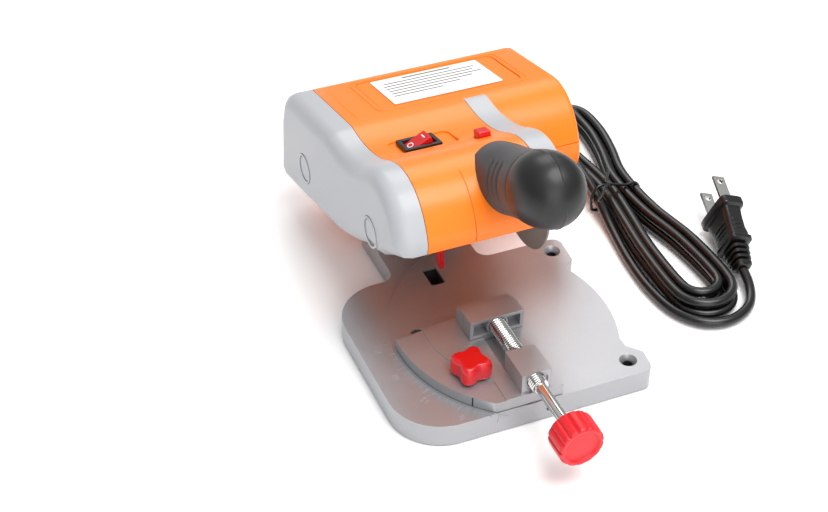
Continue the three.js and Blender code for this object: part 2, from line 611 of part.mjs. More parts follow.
function buildHead(group) {
  const shell = housingShell();
  piece(group, 'housing_upper', upperHousing(shell), ORANGE);
  piece(group, 'housing_lower', lowerHousing(shell), ORANGE);
  piece(group, 'belt_cover', beltCover(), GREY);
  for (const [name, at] of [['cover_plug_rear', MOTOR], ['cover_plug_front', ARBOR]]) {
    piece(group, name, ringX(7.3, 6.3, HEAD.left - 0.4, HEAD.left + 0.7, at.y, at.z, 32), GREY);
  }
  piece(group, 'blade_cover', bladeCover(), GREY);
  const plate = roundedPlate(LABEL.x0 + 0.4, LABEL.x1 - 0.4, LABEL.y0 + 0.4, LABEL.y1 - 0.4, 3.6);
  piece(group, 'label_plate', raise(plate, LABEL.floor + GAP, LABEL.floor + 0.5), ORANGE);
  const sticker = roundedPlate(-16.5, 39, -0.4, 33, 1);
  piece(group, 'label_sticker', raise(sticker, LABEL.floor + 0.8, LABEL.floor + 0.95), PAPER);
  piece(group, 'head_bracket', headBracket(), CAST);
  piece(group, 'strain_relief', strainRelief(), BLACK);
  buildHandle(group);
  buildSwitch(group);
  buildLatch(group);
  buildMotor(group);
  buildArbor(group);
}

// ---------------------------------------------------------------- cord and plug
const route = (points) => new THREE.CatmullRomCurve3(
  points.map((p) => new THREE.Vector3(...p)), false, 'centripetal');

const LEAD = [[44, 167.7, 25.8], [44.3, 174, 23.9], [46.6, 182, 19.4], [51.4, 188, 12.6],
  [58.6, 190, 6.4], [66.5, 187, 3.2], [73, 180, 2.7], [77.5, 171, 2.7], [80.6, 163, 2.7]];
const TAIL = [[114.5, -22.8, 2.7], [119.6, -18.6, 2.7], [123.4, -12.8, 3.2], [125.7, -6.4, 4.6],
  [126.7, -0.2, 6]];

// the bundle's outline: two round ends, and a waist where it is tied
function hankShape() {
  const s = new THREE.Shape();
  s.moveTo(92, -27.4);
  s.splineThru(corner([[104, -27.8], [112, -20], [118.4, -10], [119.4, 6], [117.6, 30],
    [112, 56], [110.8, 76], [111.4, 92], [116, 110], [119, 128], [119.4, 144], [117, 158],
    [109, 166.6], [100, 168.6], [91, 166], [85, 158], [83.6, 143], [84.6, 128], [86.8, 110],
    [86, 92], [84.7, 76], [82.4, 56], [78.4, 30], [77.4, 8], [79.8, -10], [85, -21]]));
  return s;
}

function buildPlug(group) {
  const plug = new THREE.Group();
  plug.position.set(126.7, -0.2, 6);
  plug.rotation.set(degrees(12.5), degrees(-72), degrees(-12.5), 'ZXY');
  group.add(plug);
  const body = new THREE.CylinderGeometry(9.4, 6.2, 24, 8).rotateY(Math.PI / 8);
  body.scale(1.15, 1, 0.72).translate(0, 24, 0);
  const relief = new THREE.CylinderGeometry(5, 3.6, 13, 12).translate(0, 7, 0);
  const flange = block(-12, 12, 34, 38, -6.5, 6.5);
  const slots = [-6.35, 6.35].map((x) => block(x - 1, x + 1, 36, 40, -3.6, 3.6));
  piece(plug, 'plug_body', cut(join(body, relief, flange), ...slots), BLACK);
  for (const [name, x] of [['plug_prong_left', -6.35], ['plug_prong_right', 6.35]]) {
    const prong = cut(
      block(x - 0.75, x + 0.75, 36.3, 54.5, -3.2, 3.2), rodX(1.5, x - 2, x + 2, 51, 0, 16));
    piece(plug, name, prong, STEEL);
  }
}

function buildCord(group) {
  piece(group, 'cord_lead', tubeAlong(route(LEAD), CORD.w, CORD.h, 28, 10), BLACK);
  piece(group, 'cord_hank', raise(hankShape(), 0.1, 10.4), BLACK);
  piece(group, 'cord_tail', tubeAlong(route(TAIL), CORD.w, CORD.h, 14, 10), BLACK);
  buildPlug(group);
}

// ---------------------------------------------------------------- assembly
const saw = new THREE.Group();
buildBase(saw);
buildVise(saw);
const head = new THREE.Group();
head.position.set(0, HINGE.y, HINGE.z);
head.rotation.x = -degrees(REST_TILT);
saw.add(head);
buildHead(head);
buildCord(saw);

export default saw;
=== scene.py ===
"""Looks of the small bench trim saw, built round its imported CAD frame. Lengths are in mm here."""
from math import cos, pi, radians, sin

import bmesh
import bpy
from mathutils import Matrix, Vector
from mathutils.bvhtree import BVHTree


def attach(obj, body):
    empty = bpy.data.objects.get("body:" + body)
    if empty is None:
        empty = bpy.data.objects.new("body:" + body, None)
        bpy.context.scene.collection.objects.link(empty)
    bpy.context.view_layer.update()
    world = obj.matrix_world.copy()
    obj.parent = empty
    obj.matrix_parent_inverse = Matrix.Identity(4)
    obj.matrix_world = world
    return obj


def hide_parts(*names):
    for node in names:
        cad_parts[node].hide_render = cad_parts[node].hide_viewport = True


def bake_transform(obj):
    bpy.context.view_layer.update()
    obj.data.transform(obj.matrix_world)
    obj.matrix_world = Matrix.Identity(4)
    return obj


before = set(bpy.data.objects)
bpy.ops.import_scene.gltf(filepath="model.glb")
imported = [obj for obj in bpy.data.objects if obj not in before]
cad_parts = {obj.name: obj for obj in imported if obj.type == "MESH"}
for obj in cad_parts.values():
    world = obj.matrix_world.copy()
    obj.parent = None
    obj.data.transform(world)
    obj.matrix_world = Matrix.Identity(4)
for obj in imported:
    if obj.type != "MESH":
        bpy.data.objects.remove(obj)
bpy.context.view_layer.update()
MM = 0.001
HEAD = Matrix.Translation((0, 78, 22)) @ Matrix.Rotation(radians(-13.1), 4, "X")
HANDLE = HEAD @ Matrix.Translation((-1, -91, 52.6)) @ Matrix.Rotation(radians(-14.3), 4, "X")
PLUG = (Matrix.Translation((126.7, -0.2, 6)) @ Matrix.Rotation(radians(-12.5), 4, "Z")
        @ Matrix.Rotation(radians(12.5), 4, "X") @ Matrix.Rotation(radians(-72), 4, "Y"))
HERE = Matrix.Identity(4)
PIVOT = (13.5, 1.3)                  # axis of the vise table and centre of the dial
SCREW_AXIS = (-7.6, 22)              # x and z of the vise screw
EDGE_ANGLE = 32                      # degrees; sharper edges are rounded or kept crisp
FLAT_ANGLE = 0.6                     # degrees; flatter edges of a CAD mesh are dissolved
WELD = 0.00001                       # m; closer vertices of a CAD mesh are joined
CORD_D = 4.9
CORD_TURNS = 4
CORD_PITCH = 5.2                     # between neighbouring turns
CORD_LOW = 2.7                       # height of the lowest layer's middle
CORD_TOP = 13                        # height at which the tail leaves the hank
CORD_MID = 101.8                     # x of the hank's middle at its ends
CORD_FAR = 146                       # y of the far bends' centre
CORD_BEND = 14.3                     # radius of the outer bends


# ------------------------------------------------------------------ camera
def add_camera():
    azimuth, height, roll = radians(23.04), radians(38.70), radians(0.70)
    f = Vector((sin(azimuth) * cos(height), cos(azimuth) * cos(height), -sin(height)))
    r = f.cross(Vector((0, 0, 1))).normalized()
    u = r.cross(f)
    right, up = cos(roll) * r + sin(roll) * u, -sin(roll) * r + cos(roll) * u
    cam = bpy.data.objects.new("camera", bpy.data.cameras.new("camera"))
    cam.matrix_world = Matrix((
        (right.x, up.x, -f.x, -0.2651), (right.y, up.y, -f.y, -0.5153),
        (right.z, up.z, -f.z, 0.515), (0, 0, 0, 1)))
    cam.data.sensor_width = 36
    cam.data.lens = 73.3
    cam.data.shift_x = 0.0028
    bpy.context.collection.objects.link(cam)
    bpy.context.scene.camera = cam


# ------------------------------------------------------------------ materials
def linear(code):
    channels = [int(code[i:i + 2], 16) / 255 for i in (0, 2, 4)]
    return [c / 12.92 if c <= 0.04045 else ((c + 0.055) / 1.055) ** 2.4 for c in channels] + [1]


def surface(name, color, rough, metal=0.0, vary=0.04, grain=0.5, bump=0.02, patch=20.0,
            coat=0.0, stretch=(1, 1, 1), rough_vary=0.06):
    """A plain material with mottling (patch, mm), a fine grain (mm) raised by bump (mm)."""
    mat = bpy.data.materials.new(name)
    mat.use_nodes = True
    nodes, links = mat.node_tree.nodes, mat.node_tree.links
    shader = nodes["Principled BSDF"]
    shader.inputs["Metallic"].default_value = metal
    shader.inputs["Coat Weight"].default_value = coat
    shader.inputs["Coat Roughness"].default_value = 0.12
    place = nodes.new("ShaderNodeTexCoord")
    scale = nodes.new("ShaderNodeMapping")
    scale.inputs["Scale"].default_value = stretch
    links.new(place.outputs["Object"], scale.inputs["Vector"])
    fine = nodes.new("ShaderNodeTexNoise")
    fine.inputs["Scale"].default_value = 1 / (grain * MM)
    fine.inputs["Detail"].default_value = 3
    broad = nodes.new("ShaderNodeTexNoise")
    broad.inputs["Scale"].default_value = 1 / (patch * MM)
    broad.inputs["Detail"].default_value = 4
    for noise in (fine, broad):
        links.new(scale.outputs["Vector"], noise.inputs["Vector"])
    base = linear(color)
    tone = nodes.new("ShaderNodeMix")
    tone.data_type = "RGBA"
    tone.inputs["A"].default_value = [max(0, c * (1 - vary)) for c in base[:3]] + [1]
    tone.inputs["B"].default_value = [min(1, c * (1 + vary)) for c in base[:3]] + [1]
    both = nodes.new("ShaderNodeMath")
    both.operation = "MULTIPLY_ADD"
    links.new(fine.outputs["Fac"], both.inputs[0])
    both.inputs[1].default_value = 0.6
    half = nodes.new("ShaderNodeMath")
    half.operation = "MULTIPLY"
    links.new(broad.outputs["Fac"], half.inputs[0])
    half.inputs[1].default_value = 0.5
    links.new(half.outputs[0], both.inputs[2])
    links.new(both.outputs[0], tone.inputs["Factor"])
    links.new(tone.outputs["Result"], shader.inputs["Base Color"])
    gloss = nodes.new("ShaderNodeMapRange")
    gloss.inputs["To Min"].default_value = max(0.02, rough - rough_vary)
    gloss.inputs["To Max"].default_value = min(1, rough + rough_vary)
    links.new(broad.outputs["Fac"], gloss.inputs["Value"])
    links.new(gloss.outputs["Result"], shader.inputs["Roughness"])
    raised = nodes.new("ShaderNodeBump")
    raised.inputs["Strength"].default_value = 0.7
    raised.inputs["Distance"].default_value = bump * MM
    links.new(fine.outputs["Fac"], raised.inputs["Height"])
    links.new(raised.outputs["Normal"], shader.inputs["Normal"])
    return mat


LOOK = {
    "cast": surface("cast_silver", "a9aaad", 0.38, 0.65, 0.10, 0.45, 0.08, 25),
    "steel": surface("machined_steel", "c8c8ca", 0.22, 1.0, 0.08, 0.3, 0.01, 8, stretch=(1, 6, 1)),
    "chrome": surface("bright_steel", "d6d6d4", 0.12, 1.0, 0.05, 0.4, 0.005, 10),
    # Dark steel for the hinge spring and the stator, and painted shade in the valleys of the vise
    # screw's thread.
    "dark_steel": surface("dark_steel", "6a6865", 0.35, 1.0, 0.1, 0.4, 0.02, 8),
    "orange": surface("orange_plastic", "ff7a00", 0.38, 0, 0.03, 0.35, 0.018, 30, coat=0.08),
    # Darker orange for the nose's parting line: painted shade of the seam.
    "orange_dark": surface("orange_seam_shade", "c8560a", 0.5, 0, 0.05, 0.4, 0.01, 10),
    # Darker orange for the outline round the label: painted shade along the moulded outline.
    "orange_line": surface("orange_outline_shade", "e57a12", 0.45, 0, 0.05, 0.4, 0.01, 10),
    "grey": surface("grey_plastic", "acaeb2", 0.4, 0, 0.025, 0.35, 0.018, 30, coat=0.08),
    "black": surface("black_gloss", "0e0e0f", 0.42, 0, 0.1, 0.5, 0.006, 20, coat=0.05),
    "bezel": surface("black_satin", "121213", 0.4, 0, 0.1, 0.4, 0.01, 10),
    "stem": surface("stem_plastic", "3a3b3e", 0.5, 0, 0.08, 0.35, 0.03, 15),
    "red": surface("red_plastic", "cc0414", 0.32, 0, 0.05, 0.6, 0.008, 12, coat=0.3),
    "red_soft": surface("red_moulded", "d61220", 0.42, 0, 0.06, 0.45, 0.03, 12, coat=0.15),
    "rocker": surface("rocker_red", "c9000c", 0.22, 0, 0.05, 0.6, 0.004, 8, coat=0.5),
    "paper": surface("sticker_film", "f4f3ef", 0.5, 0, 0.02, 0.6, 0.004, 15),
    "print": surface("sticker_print", "6b6a68", 0.6, 0, 0.1, 0.6, 0.003, 8),
    # A grey slightly darker than the casting for the dial's strokes and figures: painted shade of
    # the engraved marks.
    "mark": surface("engraving_shade_grey", "9d9ea1", 0.55, 0.2, 0.1, 0.5, 0.01, 8),
    "white": surface("white_print", "efece8", 0.45, 0, 0.03, 0.6, 0.003, 8),
    # Painted shade for the ear bores, the latch slot and the pointer slit; also the carbon brushes'
    # own colour.
    "dark": surface("recess_shade_and_carbon", "1f1e1e", 0.7, 0, 0.2, 0.4, 0.02, 8),
    "rubber": surface("cord_black", "0a0a0a", 0.3, 0, 0.12, 0.7, 0.01, 15, coat=0.1),
    "blade": surface("blade_steel", "b4b2b0", 0.3, 1.0, 0.08, 0.25, 0.01, 8, stretch=(1, 1, 1)),
    "grit": surface("blade_grit", "8b8a86", 0.55, 0.6, 0.3, 0.3, 0.06, 5),
    "copper": surface("copper_winding", "a9633a", 0.4, 0.9, 0.15, 0.4, 0.05, 6),
    "floor": surface("pale_floor", "ffffff", 0.6, 0, 0.0, 3.0, 0.0, 200),
}


def dress(obj, look):
    obj.data.materials.clear()
    obj.data.materials.append(LOOK[look])


# ------------------------------------------------------------------ making pieces
def finish_piece(obj, body, look, slot, bevel=0.0, angle=EDGE_ANGLE, hides=()):
    """Give a piece its look, rounded edges (bevel in mm) and body; the slot argument is not used.
    """
    bpy.context.collection.objects.link(obj)
    dress(obj, look)
    obj.data.shade_smooth()
    if bevel:
        mod = obj.modifiers.new("edge", "BEVEL")
        mod.width, mod.segments, mod.limit_method = bevel * MM, 3, "ANGLE"
        mod.angle_limit = radians(angle)
        mod.miter_outer = "MITER_ARC"
    mod = obj.modifiers.new("normals", "WEIGHTED_NORMAL")
    mod.keep_sharp = True
    if not bevel:
        obj.data.set_sharp_from_angle(angle=radians(angle))
    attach(obj, body)
    if hides:
        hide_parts(*hides)
    return obj


def build(name, verts, faces, body, look, slot, place=HERE, **how):
    mesh = bpy.data.meshes.new(name)
    mesh.from_pydata([tuple((place @ Vector(v)) * MM) for v in verts], [], faces)
    mesh.validate()
    bm = bmesh.new()
    bm.from_mesh(mesh)
    bmesh.ops.recalc_face_normals(bm, faces=bm.faces)
    bm.to_mesh(mesh)
    bm.free()
    return finish_piece(bpy.data.objects.new(name, mesh), body, look, slot, **how)


def softened(node, body, look, slot, bevel, angle=EDGE_ANGLE):
    """The CAD node's shape with its edges rounded, shown in its place."""
    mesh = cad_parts[node].data.copy()
    bm = bmesh.new()
    bm.from_mesh(mesh)
    bmesh.ops.remove_doubles(bm, verts=bm.verts, dist=WELD)
    bmesh.ops.dissolve_limit(bm, angle_limit=radians(FLAT_ANGLE), verts=bm.verts,
                             edges=bm.edges)
    bmesh.ops.recalc_face_normals(bm, faces=bm.faces)
    bm.to_mesh(mesh)
    bm.free()
    obj = bpy.data.objects.new("shown_" + node, mesh)
    return finish_piece(obj, body, look, slot, bevel=bevel, angle=angle, hides=(node,))


def loft(rings, closed=True):
    """Skin over rings of equal length; the first and last are capped."""
    n = len(rings[0])
    verts = [p for ring in rings for p in ring]
    faces = []
    for k in range(len(rings) - 1):
        for i in range(n):
            j = (i + 1) % n
            faces.append((k * n + i, k * n + j, (k + 1) * n + j, (k + 1) * n + i))
    if closed:
        faces.append(tuple(range(n))[::-1])
        faces.append(tuple((len(rings) - 1) * n + i for i in range(n)))
    return verts, faces


def plain_radius(_angle, r):
    return r


def around(n):
    """n angles, evenly spaced round a circle."""
    return [2 * pi * i / n for i in range(n)]


def shifted(part, x, z):
    verts, faces = part
    return [(vx + x, vy, vz + z) for vx, vy, vz in verts], faces


def turned(profile, n=48, radius=plain_radius, squash=1.0):
    """A body turned about local Y from (radius, y) pairs."""
    return loft([[(radius(a, r) * cos(a), y, squash * radius(a, r) * sin(a))
                  for a in around(n)] for r, y in profile])


def box(x0, x1, y0, y1, z0, z1):
    return loft([[(x0, y0, z), (x1, y0, z), (x1, y1, z), (x0, y1, z)] for z in (z0, z1)])


def merge(*parts):
    verts, faces = [], []
    for v, f in parts:
        faces += [tuple(i + len(verts) for i in face) for face in f]
        verts += v
    return verts, faces


# ------------------------------------------------------------------ cord first
LEAD = [(44, 167.7, 25.8), (44.3, 174, 23.9), (46.6, 182, 19.4), (51.4, 188, 12.6),
        (58.6, 190, 6.4), (66.5, 187, 3.2), (73, 180, 2.7), (77.5, 171, 2.7), (80.6, 163, 2.7),
        (84.5, 153, 2.7), (86.9, 141, 2.7)]
TAIL = [(87, 150, 13), (86.8, 128, 13), (88, 108, 13), (88, 92, 11), (87.4, 76, 8.2),
        (85.2, 56, 4), (81.6, 30, 2.7), (80.6, 7, 2.7), (83.5, -11, 2.7), (90, -21, 2.7),
        (98, -25.4, 2.7), (106.6, -25.8, 2.7), (114.5, -22.8, 2.7), (119.6, -18.6, 2.7),
        (123.4, -12.8, 3.2), (125.7, -6.4, 4.6), (126.7, -0.2, 6)]
# y, and the x of the hank's left and right runs there
SIDES = [(128, 87.4, 116.1), (110, 89.6, 113.2), (92, 92, 108.8), (76, 92.6, 108.2),
         (56, 90.6, 109.6), (30, 87.6, 114.5)]


def smooth_path(points, step=2.5):
    """A centripetal spline through the points, sampled evenly."""
    p = [Vector(q) for q in points]
    p = [2 * p[0] - p[1]] + p + [2 * p[-1] - p[-2]]
    dense = []
    for a, b, c, d in zip(p, p[1:], p[2:], p[3:]):
        t = [0.0]
        for u, v in ((a, b), (b, c), (c, d)):
            t.append(t[-1] + max(1e-6, (v - u).length ** 0.5))
        for i in range(12):
            s = t[1] + (t[2] - t[1]) * i / 12
            a1 = a.lerp(b, (s - t[0]) / (t[1] - t[0]))
            a2 = b.lerp(c, (s - t[1]) / (t[2] - t[1]))
            a3 = c.lerp(d, (s - t[2]) / (t[3] - t[2]))
            b1 = a1.lerp(a2, (s - t[0]) / (t[2] - t[0]))
            b2 = a2.lerp(a3, (s - t[1]) / (t[3] - t[1]))
            dense.append(b1.lerp(b2, (s - t[1]) / (t[2] - t[1])))
    dense.append(p[-2])
    out, left = [dense[0]], step
    for a, b in zip(dense, dense[1:]):
        gap = (b - a).length
        while gap >= left:
            a = a.lerp(b, left / gap)
            out.append(a)
            gap, left = (b - a).length, step
        left -= gap
    return out[:-1] + [dense[-1]] if (out[-1] - dense[-1]).length < step / 2 else out + [dense[-1]]


def cord_points():
    """The lead, then the hank's turns in two layers, then the tail to the plug."""
    points = list(LEAD)
    for turn in range(CORD_TURNS):
        inset, z = CORD_PITCH * (turn // 2), CORD_LOW + CORD_PITCH * (turn % 2)
        slack = 0.7 * sin(2.1 * turn)
        points += [(left + inset + slack, y, z) for y, left, _ in SIDES]
        centre_y = -5 + 1.5 * turn
        near = CORD_BEND - inset
        points += [(CORD_MID - near * cos(radians(a)), centre_y - near * sin(radians(a)), z)
                   for a in range(0, 181, 30)]
        points += [(right - inset + slack, y, z) for y, _, right in SIDES[::-1]]
        last = turn == CORD_TURNS - 1
        nxt = 0.0 if last else CORD_PITCH * ((turn + 1) // 2)
        z_next = CORD_TOP if last else CORD_LOW + CORD_PITCH * ((turn + 1) % 2)
        for a in range(0, 181, 30):
            k = a / 180
            r = CORD_BEND - (inset * (1 - k) + nxt * k)
            points.append((CORD_MID + r * cos(radians(a)), CORD_FAR + r * sin(radians(a)),
                           z * (1 - k) + z_next * k))
    return smooth_path(points[:-1] + TAIL)


def add_curve(name, points, diameter, body, look):
    data = bpy.data.curves.new(name, "CURVE")
    data.dimensions = "3D"
    data.bevel_depth = diameter / 2 * MM
    data.bevel_resolution = 5
    data.use_fill_caps = True
    spline = data.splines.new("POLY")
    spline.points.add(len(points) - 1)
    for spot, p in zip(spline.points, points):
        spot.co = (*(Vector(p) * MM), 1)
    spline.use_smooth = True
    obj = bpy.data.objects.new(name, data)
    bpy.context.collection.objects.link(obj)
    obj.data.materials.append(LOOK[look])
    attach(obj, body)
    return obj


def as_mesh(temp):
    """The mesh of a curve or text object, which is then removed."""
    mesh = bpy.data.meshes.new_from_object(
        temp.evaluated_get(bpy.context.evaluated_depsgraph_get()))
    bpy.data.objects.remove(temp)
    return mesh


def superellipse(y, w, h, power=2.6, n=40):
    ring = []
    for i in range(n):
        a = 2 * pi * i / n
        c, s = cos(a), sin(a)
        ring.append((w * abs(c) ** (2 / power) * (1 if c >= 0 else -1), y,
                     h * abs(s) ** (2 / power) * (1 if s >= 0 else -1)))
    return ring


def add_plug():
    rings = [superellipse(0.4, 3.0, 3.0, 2), superellipse(1.0, 3.9, 3.7, 2.6)]
    for k in range(4):
        start, wider, taller = 1.8 + 2.9 * k, 0.55 * k, 0.55 * k * 0.5
        rings += [superellipse(start + y, w + wider, h + taller, power) for y, w, h, power in (
            (0, 4.6, 4.2, 4), (1.6, 4.7, 4.2, 4), (1.8, 3.4, 3.1, 3), (2.7, 3.4, 3.1, 3))]
    rings += [superellipse(y, w, h, 6) for y, w, h in (
        (13.6, 5.8, 4.6), (14.2, 8.6, 6.2), (15.8, 8.8, 6.3), (16.4, 8.4, 5.4), (22, 8.2, 4.9),
        (28, 8.9, 4.9), (33, 9.8, 5.2), (33.6, 11.7, 6.3), (34.2, 12, 6.5), (37.4, 12, 6.5),
        (38, 11.7, 6.2), (38.05, 7, 4))]
    body = build("plug_moulding", *loft(rings), "base", "rubber", "soft_black", PLUG,
                 bevel=0.3, angle=40, hides=("plug_body",))
    groove = build("plug_grip_ribs", *merge(*[
        loft([superellipse(y, w, h, 3.2), superellipse(y + 0.9, w + 0.1, h, 3.2)])
        for y, w, h in ((20, 8.5, 5.3), (22.6, 8.55, 5.3), (25.2, 8.9, 5.3))]), "base", "rubber",
        "soft_black", PLUG, bevel=0.25)
    prongs = [softened(n, "base", "chrome", "steel", 0.25)
              for n in ("plug_prong_left", "plug_prong_right")]
    return [body, groove, *prongs]


def add_tie():
    loop = [(84.2, 75, 2), (84.0, 75.6, 9), (87, 76, 14.2), (94, 76, 14.2), (103, 76, 11.4),
            (109, 76.4, 11), (111.4, 76.5, 8), (111.5, 76.5, 3), (109, 76, 0.9), (98, 75.5, 0.8),
            (87, 75, 0.8), (84.4, 74.6, 1.8)]
    end = [(92, 77, 15), (94, 80, 15.6), (97.5, 84.5, 15), (99.6, 90, 14.4)]
    other = [(93, 75, 15), (89, 72.4, 15.6), (86.5, 69, 14.6), (83, 66.6, 13.4)]
    ties = [add_curve("cord_tie_loop", smooth_path(loop, 1.2), 1.5, "base", "rubber")]
    for name, points in (("cord_tie_end_a", end), ("cord_tie_end_b", other)):
        ties.append(add_curve(name, smooth_path(points, 1.2), 1.5, "base", "rubber"))
    return ties


add_camera()
plug_pieces = add_plug()
tie_pieces = add_tie()
route = cord_points()
guide = add_curve("cord_guide", route, CORD_D, "base", "rubber")
skin = as_mesh(guide)
flex = bpy.data.objects.new("supply_cord", skin)
bpy.context.collection.objects.link(flex)
flex.data.shade_smooth()
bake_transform(flex)
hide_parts("cord_lead", "cord_hank", "cord_tail")


# ------------------------------------------------------------------ base
def ring_point(r, angle, z):
    return (PIVOT[0] + r * cos(radians(angle)), PIVOT[1] + r * sin(radians(angle)), z)


def bar_at(r0, r1, angle, width, z0, z1):
    """A radial stroke of the dial."""
    c, s, half = cos(radians(angle)), sin(radians(angle)), width / 2
    corners = []
    for z in (z0, z1):
        corners.append([(PIVOT[0] + r * c - side * s, PIVOT[1] + r * s + side * c, z)
                        for r, side in ((r0, -half), (r1, -half), (r1, half), (r0, half))])
    return loft(corners)


def arc_strip(r0, r1, a0, a1, z0, z1, n=72):
    rings = []
    for i in range(n + 1):
        a = a0 + (a1 - a0) * i / n
        rings.append([ring_point(r, a, z) for r, z in ((r0, z0), (r1, z0), (r1, z1), (r0, z1))])
    return loft(rings)


def figure(text, size, spot, turn, body, look, slot):
    """A flat raised figure lying on the base."""
    data = bpy.data.curves.new("figure_" + text, "FONT")
    data.body, data.size, data.extrude = text, size * MM, 0.06 * MM
    data.align_x, data.align_y = "CENTER", "CENTER"
    temp = bpy.data.objects.new("temp", data)
    bpy.context.collection.objects.link(temp)
    mesh = as_mesh(temp)
    where = Matrix.Translation(spot) @ Matrix.Rotation(radians(turn), 4, "Z")
    for v in mesh.vertices:
        v.co = (where @ (v.co / MM)) * MM
    obj = bpy.data.objects.new("figure_" + text, mesh)
    return finish_piece(obj, body, look, slot)


def add_base():
    softened("base_casting", "base", "cast", "cast_silver", 1.3, angle=50)
    # The dial's strokes and figures stand barely raised in a darker grey: painted shade of the
    # engraving.
    marks = [bar_at(65.8, 68.2 if i % 5 else 70, 233 - i * 3, 0.35, 10.9, 11.06) for i in range(22)]
    build("dial_marks", *merge(*marks), "base", "mark", "cast_silver")
    for text, angle in (("45", 176), ("30", 191), ("15", 206), ("0", 221)):
        figure(text, 4.2, ring_point(72.6, angle, 11.02), angle - 90, "base", "mark", "cast_silver")
    rim = arc_strip(64.8, 65.5, 104, 236, 10.9, 11.3)
    build("dial_groove", *rim, "base", "cast", "cast_silver")
    # Dark open sleeves just inside the two ear holes: painted shade in the bores.
    for name, x, y in (("ear_bore_front_shade", 42, -40.6), ("ear_bore_back_shade", 45, 42)):
        tube = [(2.16, 0.3), (2.16, 8.6), (2.1, 8.6), (2.1, 0.3), (2.16, 0.3)]
        verts, faces = turned(tube, 40)
        verts = [(vx + x, -vz + y, vy) for vx, vy, vz in verts]
        build(name, verts, faces[:-2], "base", "dark", "cast_silver")
    # Dark walls just inside the latch slot: painted shade in the slot.
    slot = [(-18.55, 39.65), (-11.65, 39.65), (-11.65, 51.95), (-18.55, 51.95)]
    shade_walls = loft([[(x, y, z) for x, y in slot] for z in (0.3, 9.6)], closed=False)
    build("latch_slot_shade", *shade_walls, "base", "dark", "cast_silver")
    softened("hinge_pin", "base", "steel", "steel", 0.4)
    softened("hinge_spring", "base", "dark_steel", "spring_steel", 0, angle=60)


# ------------------------------------------------------------------ vise
def thread(name, y0, y1, radius, depth, pitch):
    """The vise screw: its thread between y0 and y1, a plain shank, and a darker core that shows in
    the valleys between the teeth as painted shade.
    """
    x, z = SCREW_AXIS
    rings = []
    rings_per_turn, sides = 8, 40
    count = int((y1 - y0) / pitch * rings_per_turn)
    for k in range(count + 1):
        y = y0 + (y1 - y0) * k / count
        edge = min(1, 0.35 + (y - y0) / 1.2, 0.35 + (y1 - y) / 1.2)
        ring = []
        for i, a in enumerate(around(sides)):
            phase = ((y - y0) / pitch - i / sides) % 1
            tooth = abs(2 * phase - 1)
            r = (radius - depth * tooth) * edge ** 0.25
            ring.append((x + r * cos(a), y, z + r * sin(a)))
        rings.append(ring)
    shank = turned([(2.2, -87.2), (2.6, -86.8), (2.6, y0 - 0.3), (2.2, y0 + 0.4)], 32)
    # A dark-steel core partway up the teeth shows in the valleys between them: painted shade in the
    # thread.
    valley = radius - depth * 0.65
    valley_shade = turned([(valley, y0 + 0.6), (valley, y1 - 0.6)], 32)
    build(name + "_valley_shade", *shifted(valley_shade, x, z), "screw", "dark_steel", "steel")
    build(name, *merge(loft(rings), shifted(shank, x, z)), "screw", "chrome", "steel", angle=40,
          hides=("vise_screw",))


def add_vise():
    softened("vise_table", "swivel", "cast", "cast_silver", 0.7, angle=40)
    softened("vise_jaw", "jaw", "cast", "cast_silver", 0.45, angle=40)
    thread("screw_thread", -53, -4.8, 3.9, 0.75, 1.25)

    def fluted(a, r):
        return r - (0.8 * max(0, cos(14 * a)) ** 2 if r > 9.4 else 0)

    knob_at = Matrix.Translation((SCREW_AXIS[0], -91.5, SCREW_AXIS[1]))
    profile = [(0.05, 1.0), (4, 1.05), (7.0, 1.2), (7.6, 1.0), (7.9, 0.3), (8.4, 0), (9.3, 0),
               (10.0, 0.4), (10.35, 1.4), (10.4, 6), (10.4, 10.6), (10.1, 11.9), (9.3, 12.5),
               (7.2, 12.6), (6.5, 13), (6.4, 14.2), (5.8, 14.5), (3.2, 14.5), (3.2, 12)]
    build("knob_body", *turned(profile, 168, fluted), "screw", "red_soft", "red_plastic", knob_at,
          hides=("vise_knob",), angle=50)

    def star(a, r):
        return r * (0.85 + 0.15 * cos(4 * (a - radians(55))))

    rings = []
    for z, grow in ((17.3, 0.86), (17.9, 0.96), (19, 1), (23.6, 1), (25.2, 0.96), (26.2, 0.86),
                    (26.5, 0.7)):
        rings.append([(star(a, 9.2 * grow) * cos(a), star(a, 9.2 * grow) * sin(a), z)
                      for a in around(96)])
    star_at = Matrix.Translation((-29.5, -28.47, 0))
    build("star_knob", *loft(rings), "lock", "red", "red_plastic", star_at, hides=("lock_knob",),
          angle=60)
    # A dark bar set flush in the table's edge at the pointer: painted shade of the pointer slit.
    slit_shade = bar_at(64.0, 64.72, 222, 0.6, 11.5, 16.3)
    build("pointer_slit_shade", *slit_shade, "swivel", "dark", "cast_silver")


# ------------------------------------------------------------------ head
def add_label():
    softened("label_plate", "head", "orange", "orange_plastic", 0.15)
    softened("label_sticker", "head", "paper", "sticker", 0.08)
    rows = [(30.0, -1, 24, 1.5), (26.0, -12, 35, 1.1), (22.6, -13, 33, 1.1), (19.2, -13, 36, 1.1),
            (15.8, -13, 30, 1.1), (12.4, -13, 22, 1.1), (9.0, -13, 12, 1.1)]
    bars = [box(x0, x1, y - h / 2, y + h / 2, 59.64, 59.7) for y, x0, x1, h in rows]
    build("label_lines", *merge(*bars), "head", "print", "sticker", HEAD)


